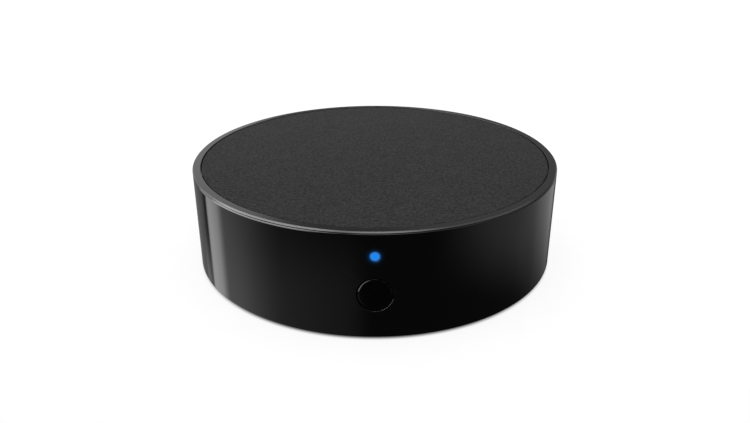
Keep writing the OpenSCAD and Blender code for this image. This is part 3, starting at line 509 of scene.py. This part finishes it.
# plain rings beside the rounded corners of the rim keep its flats flat
shape = turned([
    (0, lid["seat"]), (lid["rim"], lid["seat"]), (lid["rim"], lid["top"], 0.06), (lid["rim"] + 0.1, lid["top"]),
    (lid["outer"] - lid["edge"] - 0.08, lid["top"]), (lid["outer"] - lid["edge"], lid["top"], 0.03),
    (lid["outer"], lid["top"] - lid["edge"], 0.02), (lid["outer"], lid["lip"]), (lid["step"], lid["lip"]),
    (lid["step"], lid["low"]), (0, lid["low"])], 360)
near, far, low = lid["spigot"]
halfNotch = math.degrees(math.asin(lid["notch"] / 2 / near))
spigot = turned([(near, low, 0.2), (far, low, 0.2), (far, lid["root"]), (near, lid["root"])], 240,
                sweep=360 - 2 * halfNotch)
addCopies(shape, spigot, [polar(270 + halfNotch)])
bosses = [polar(angle, lid["bossPlace"]) for angle in lid["bossAngles"]]
addCopies(shape, turned([
    (0, lid["holeHigh"]), (lid["bossHole"], lid["holeHigh"]), (lid["bossHole"], lid["bossLow"]),
    (lid["boss"], lid["bossLow"], 0.15), (lid["boss"], lid["root"]), (0, lid["root"])], 48), bosses)
start, out, drop, thick = lid["gusset"]
sunk = lid["root"] - lid["low"]
gusset = plate([(0, sunk), (0, -drop), (out, 0), (out, sunk)], -thick / 2, thick / 2, 0.08)
addCopies(shape, gusset, [
    boss @ polar(angle, start, lid["low"]) @ upright for boss in bosses for angle in (120, 180, 240)])
near, far = lid["hub"]
hub = turned([(near, lid["ribLow"], 0.15), (far, lid["ribLow"], 0.15), (far, lid["root"]), (near, lid["root"])], 96)
addCopies(shape, hub)
rib = plate(
    oblong(lid["ribLong"], lid["ribThick"], x=(near + far + lid["ribLong"]) / 2), lid["ribLow"], lid["root"],
    lid["soften"])
addCopies(shape, rib, [polar(i * 360 / lid["ribs"]) for i in range(lid["ribs"])])
x, y, long, low = lid["cradle"]
for side in (-1, 1):
    addCopies(shape, plate(oblong(lid["ribThick"], long, side * x, y), low, lid["root"], lid["soften"]))
finishPiece("lid", shape, makeRimAbs(), "top_cover")

# Panel: a thin disc with a softened edge
panel = {"radius": 31.4, "low": 17.55, "high": 18.35, "edge": 0.12}
shape = turned([
    (0, panel["low"]), (panel["radius"], panel["low"]), (panel["radius"], panel["high"], panel["edge"]),
    (0, panel["high"])], 360)
finishPiece("panel_disc", shape, makePanelAbs(), "top_panel")

# Button: slightly crowned, with a rounded edge, the flange that keeps it in and the stem that works the switch
button = {"face": 2.75, "crown": ((0, 0), (1.2, 0.01), (2.3, 0.05)), "drop": 0.09, "edge": 0.4,
          "flange": (3.5, 1.6, 2.4), "stem": 1.4, "long": 3.1, "z": 7.9}
flange, near, far = button["flange"]
shape = turned([
    *button["crown"], (button["face"], button["drop"], button["edge"]), (button["face"], near),
    (flange, near, 0.1), (flange, far, 0.1), (button["stem"], far), (button["stem"], button["long"], 0.1),
    (0, button["long"])], 128)
turnToFront(shape, -shell["outer"], button["z"])
# ABS in piano black: polished, with a faint waviness
pianoAbs = makeMoulded(
    "abs_piano_black", ("#000000", "#020202"), (0.07, 0.1), 1.53, 1.2, 0.0003, Specular_IOR_Level=0.3)
finishPiece("button", shape, pianoAbs, "button_cap", "button")

# Light guide: a round tip with a low dome and a collar, then an arm and a column down to the lamp
guide = {"tip": 0.8, "dome": ((0, 0), (0.3, 0.01), (0.6, 0.05)), "drop": 0.11, "edge": 0.05,
         "collar": (1.3, 1.6, 2.6), "z": 14.4, "half": 1, "arm": (-30.9, -22.2), "foot": 5.8, "facet": 1.6,
         "inner": 0.4}
collar, near, far = guide["collar"]
shape = turned([
    *guide["dome"], (guide["tip"], guide["drop"], guide["edge"]), (guide["tip"], near), (collar, near, 0.1),
    (collar, far, 0.1), (0, far)], 96)
turnToFront(shape, -shell["outer"], guide["z"])
root, back = guide["arm"]
top, under = guide["z"] + guide["half"], guide["z"] - guide["half"]
front = back - 2 * guide["half"]
arm = plate([
    (root, top), (back - guide["facet"], top), (back, top - guide["facet"]), (back, guide["foot"]),
    (front, guide["foot"]), (front, under - guide["inner"]), (front - guide["inner"], under), (root, under)],
    -guide["half"], guide["half"], 0.12)
# turns the plate so that its outline runs in Y and Z
onEdge = Matrix(((0, 0, 1, 0), (1, 0, 0, 0), (0, 1, 0, 0), (0, 0, 0, 1)))
addCopies(shape, arm, [onEdge])
finishPiece("light_guide", shape, makeAcrylic(), "light_pipe")

# Foot: a flat ring of silicone with soft edges, glued into its groove
foot = {"near": 21, "far": 28, "high": 1, "edge": 0.2}
shape = turned([
    (foot["near"], 0, foot["edge"]), (foot["far"], 0, foot["edge"]), (foot["far"], foot["high"], 0.06),
    (foot["near"], foot["high"], 0.06)], 256)
silicone = makeMoulded("silicone_matt", ("#1A1A1B", "#212122"), (0.55, 0.7), 1.41, 0.2, 0.01)
finishPiece("foot", shape, silicone, "foot_ring")
print("housing made")

# Socket for the power plug: a folded shell with a flared mouth, legs, an insulator with its tongue, and contacts
socket = {
    "halfWide": 3.45, "high": 6.95, "low": 5.1, "knee": 6.0, "footHalf": 2.69, "wall": 0.3, "back": 26, "block": 27.6,
    "corner": 0.3, "mouth": ((30.95, 0), (31.15, 0.03), (31.35, 0.12), (31.6, 0.35)), "leg": (3.6, 27.6, 1.1, 2.4),
    "tongue": (3.7, 6.1, 6.7, 30.8), "tongueRoot": 27.4, "blockShare": 0.995, "contacts": 5, "spacing": 0.65,
    "contact": 0.25, "blade": (2.88, 29.04, 6.0, 6.13, 0.04), "tail": (0.8, 25.6, 4.8, 4.9, 0.03)}
cavity = [
    (-socket["halfWide"], socket["high"]), (socket["halfWide"], socket["high"]),
    (socket["halfWide"], socket["knee"]), (socket["footHalf"], socket["low"]), (-socket["footHalf"], socket["low"]),
    (-socket["halfWide"], socket["knee"])]
shape = bmesh.new()
shape.faces.new([shape.verts.new(Vector((x, socket["back"], z)) * mm) for x, z in cavity])
bmesh.ops.bevel(shape, geom=shape.verts[:], offset=socket["corner"] * mm, affect="VERTICES", segments=5, profile=0.5,
                material=-1)
bmesh.ops.delete(shape, geom=shape.faces[:], context="FACES_ONLY")
ring = shape.edges[:]
y, flare = socket["back"], 0
halfHigh = (socket["high"] - socket["low"]) / 2
middle = Matrix.Translation((0, 0, -(socket["low"] + halfHigh) * mm))
for along, wider in socket["mouth"]:
    drawn = bmesh.ops.extrude_edge_only(shape, edges=ring)["geom"]
    points = vertsIn(drawn)
    ring = [e for e in drawn if isinstance(e, bmesh.types.BMEdge)]
    bmesh.ops.translate(shape, verts=points, vec=(0, (along - y) * mm, 0))
    bmesh.ops.scale(shape, verts=points, space=middle, vec=(
        (socket["halfWide"] + wider) / (socket["halfWide"] + flare), 1, (halfHigh + wider) / (halfHigh + flare)))
    y, flare = along, wider
bmesh.ops.recalc_face_normals(shape, faces=shape.faces[:])
bmesh.ops.solidify(shape, geom=shape.faces[:], thickness=socket["wall"] * mm)
bmesh.ops.recalc_face_normals(shape, faces=shape.faces[:])
x, y, wide, low = socket["leg"]
for side in (-1, 1):
    addCopies(shape, plate(oblong(socket["wall"], wide, side * x, y), low, socket["knee"], 0.06))
# drawn steel with bright tin plating, rolled along the sheet
tinPlate = makeMetal("tin_plated_steel", "#C9CACB", (0.22, 0.34), (0.05, 1, 0.05), 0.002)
finishPiece("socket_shell", shape, tinPlate, "usb_shell")

# glass-filled nylon, matt
blackNylon = makeMoulded("nylon_glass_filled", ("#121212", "#1A1A1A"), (0.4, 0.55), 1.53, 0.1, 0.008)
wide, low, high, end = socket["tongue"]
root = socket["tongueRoot"]
shape = plate(oblong(wide, end - root, 0, (end + root) / 2), low, high, 0.12)
insert = plate([(x * socket["blockShare"], z) for x, z in cavity], -socket["block"], -socket["back"], 0.05)
addCopies(shape, insert, [upright])
finishPiece("socket_tongue", shape, blackNylon, "usb_insulator")

# gold flash over nickel on phosphor bronze
goldFlash = makeMetal("gold_flash", "#E3BC6B", (0.18, 0.3), (0.05, 0.6, 0.05), 0.001)
places = [Matrix.Translation(((i - (socket["contacts"] - 1) / 2) * socket["spacing"] * mm, 0, 0))
          for i in range(socket["contacts"])]
shape = bmesh.new()
for long, y, low, high, soften in (socket["blade"], socket["tail"]):
    addCopies(shape, plate(oblong(socket["contact"], long, 0, y), low, high, soften), places)
finishPiece("socket_contacts", shape, goldFlash, "usb_contacts")
print("socket made")

# Finishes of the parts that keep their CAD shape, by slot
blackEpoxy = makeMoulded("epoxy_moulding", ("#101010", "#171717"), (0.45, 0.6), 1.55, 0.08, 0.008)
finishes = {
    # ABS from a spark-eroded mould
    "abs_matte_base": makeMoulded("abs_spark_eroded", ("#131313", "#191919"), (0.45, 0.6), 1.53, 0.15, 0.012),
    # white lamp body of moulded silicone over phosphor
    "lamp_white": makeMoulded("lamp_silicone", ("#E6E2CE", "#F2EFE2"), (0.3, 0.4), 1.41, 0.2, 0.004),
    "board_green": makeBoard("board_green_mask", "#0F4A2A", "#1B6A3C", "#B7A778", 2.4),
    "module_blue": makeBoard("board_blue_mask", "#0C2148", "#173A70", "#B7A778", 1.1),
    "steel_plated": tinPlate,
    # copper wire and pins with hot-dipped tin
    "tinned_wire": makeMetal("tinned_copper", "#D5D4D0", (0.2, 0.32), (0.1, 0.1, 0.6), 0.002),
    "gold_plated": goldFlash,
    # spring steel, rolled bright
    "spring_steel": makeMetal("spring_steel_bright", "#C8C6C2", (0.12, 0.2), (0.6, 0.05, 0.05), 0.001),
    # dark tinted epoxy lens, cast smooth
    "emitter_lens": makeMoulded("epoxy_tinted_lens", ("#15152A", "#1B1B36"), (0.05, 0.09), 1.55, 1.5, 0.001,
                                Coat_Weight=0.5),
    "chip_black": blackEpoxy,
    "nylon_black": blackNylon,
    "nylon_brown": makeMoulded("nylon_brown", ("#5A3119", "#6B3B1E"), (0.35, 0.5), 1.53, 0.1, 0.006),
    # deep-drawn aluminium can
    "aluminium_can": makeMetal("aluminium_drawn", "#DADBDD", (0.25, 0.38), (0.08, 0.08, 1.2), 0.002),
    # fired ceramic
    "ceramic_tan": makeMoulded("ceramic_fired", ("#A98A62", "#B89A72"), (0.35, 0.5), 1.7, 0.15, 0.006),
}
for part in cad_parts.values():
    for held in part.material_slots:
        if held.material and held.material.name in finishes:
            held.material = finishes[held.material.name]
print("finishes set")
